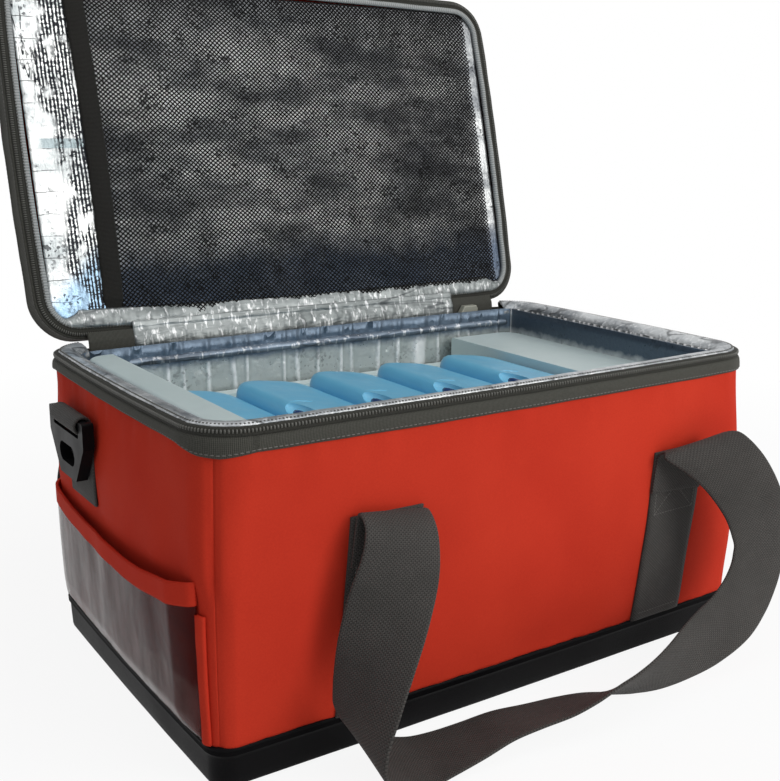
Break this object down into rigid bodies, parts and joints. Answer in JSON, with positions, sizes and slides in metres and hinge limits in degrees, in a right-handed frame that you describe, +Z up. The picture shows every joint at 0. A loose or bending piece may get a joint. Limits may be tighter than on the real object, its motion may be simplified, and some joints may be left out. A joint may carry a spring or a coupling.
{
  "type": "insulated blood transport bag",
  "caption": "Soft insulated box bag with a rear-hinged zip lid, webbing handles, strap rings, foil lining, a white insert and tilted ice packs.",
  "frame": {"origin": "middle of the underside, on the ground", "axes": "+X along the bag to its right end, +Y from the front to the hinge side, +Z up; the lid stands open at rest"},
  "size_m": [0.5004, 0.4615, 0.5105],
  "materials": {
    "red_cloth": "coated woven cloth, satin",
    "black_cloth": "black coated cloth, satin",
    "grey_binding": "woven tape",
    "webbing": "ribbed webbing",
    "foam": "closed-cell foam sheet, counted as fabric for its low density",
    "foil": "silver foil on cloth, bright and creased",
    "foil_skin": "silver foil, bright and creased",
    "board": "stiffening board",
    "zip": "coil zip, matte",
    "zip_metal": "painted zip slider",
    "clear_sheet": "clear flexible sheet, glossy",
    "black_plastic": "moulded black plastic",
    "net": "knitted net",
    "white_foam": "rigid white foam with a smooth skin, counted as fabric for its low density",
    "blue_pack": "blue moulded pack, glossy",
    "blue_cap": "darker blue plug"
  },
  "bodies": {
    "bag": {"base_boot": "black_cloth", "base_board": "board", "base_foam": "foam", "front_panel": "red_cloth", "rear_panel": "red_cloth", "left_panel": "red_cloth", "right_panel": "red_cloth", "front_foam": "foam", "rear_foam": "foam", "left_foam": "foam", "right_foam": "foam", "foil_liner": "foil_skin", "rim_hem": "foil", "rim_binding": "grey_binding", "body_zip_tape": "zip", "body_zip_coil": "zip", "hinge_strip": "foil", "hinge_end_tabs": "grey_binding", "pocket_window": "clear_sheet", "pocket_top_binding": "red_cloth", "pocket_side_bindings": "red_cloth", "front_left_strap": "webbing", "front_right_strap": "webbing", "rear_left_strap": "webbing", "rear_right_strap": "webbing", "left_ring_tab": "webbing", "right_ring_tab": "webbing"},
    "lid": {"lid_panel": "red_cloth", "lid_side_band": "red_cloth", "lid_foam": "foam", "lid_lining": "foil_skin", "lid_hem": "foil", "lid_zip_tape": "zip", "lid_zip_coil": "zip", "lid_net": "net", "net_binding": "grey_binding"},
    "front_handle": {"front_handle": "webbing"},
    "rear_handle": {"rear_handle": "webbing"},
    "left_ring": {"left_ring": "black_plastic"},
    "right_ring": {"right_ring": "black_plastic"},
    "zip_slider": {"zip_slider": "zip_metal"},
    "insert": {"inner_box": "white_foam"},
    "tray": {"pack_tray": "white_foam"},
    "pack_1": {"ice_pack_1": "blue_pack", "ice_pack_cap_1": "blue_cap"},
    "pack_2": {"ice_pack_2": "blue_pack", "ice_pack_cap_2": "blue_cap"},
    "pack_3": {"ice_pack_3": "blue_pack", "ice_pack_cap_3": "blue_cap"},
    "pack_4": {"ice_pack_4": "blue_pack", "ice_pack_cap_4": "blue_cap"},
    "pack_5": {"ice_pack_5": "blue_pack", "ice_pack_cap_5": "blue_cap"}
  },
  "joints": [
    {"name": "lid_hinge", "type": "hinge", "parent": "bag", "child": "lid", "pos_m": [0, 0.1435, 0.227], "axis": [-1, 0, 0], "range_deg": [-104.4, 16]},
    {"name": "front_handle_swing", "type": "hinge", "parent": "bag", "child": "front_handle", "pos_m": [0, -0.154, 0.168], "axis": [1, 0, 0], "range_deg": [-90, 0]},
    {"name": "rear_handle_swing", "type": "hinge", "parent": "bag", "child": "rear_handle", "pos_m": [0, 0.154, 0.168], "axis": [-1, 0, 0], "range_deg": [-90, 0]},
    {"name": "left_ring_swing", "type": "hinge", "parent": "bag", "child": "left_ring", "pos_m": [-0.2436, 0.0495, 0.192], "axis": [0, 1, 0], "range_deg": [0, 150]},
    {"name": "right_ring_swing", "type": "hinge", "parent": "bag", "child": "right_ring", "pos_m": [0.2436, 0.0495, 0.192], "axis": [0, -1, 0], "range_deg": [0, 150]},
    {"name": "zip_slide", "type": "slide", "parent": "bag", "child": "zip_slider", "axis": [1, 0, 0], "range_m": [0, 0.02]},
    {"name": "insert_lift", "type": "slide", "parent": "bag", "child": "insert", "axis": [0, 0, 1], "range_m": [0, 0.21]},
    {"name": "tray_lift", "type": "slide", "parent": "insert", "child": "tray", "axis": [0, 0, 1], "range_m": [0, 0.05]},
    {"name": "pack_1_lift", "type": "slide", "parent": "tray", "child": "pack_1", "axis": [0.1305, 0, 0.9914], "range_m": [0, 0.12]},
    {"name": "pack_2_lift", "type": "slide", "parent": "tray", "child": "pack_2", "axis": [0.1305, 0, 0.9914], "range_m": [0, 0.12]},
    {"name": "pack_3_lift", "type": "slide", "parent": "tray", "child": "pack_3", "axis": [0.1305, 0, 0.9914], "range_m": [0, 0.12]},
    {"name": "pack_4_lift", "type": "slide", "parent": "tray", "child": "pack_4", "axis": [0.1305, 0, 0.9914], "range_m": [0, 0.12]},
    {"name": "pack_5_lift", "type": "slide", "parent": "tray", "child": "pack_5", "axis": [0.1305, 0, 0.9914], "range_m": [0, 0.12]}
  ]
}
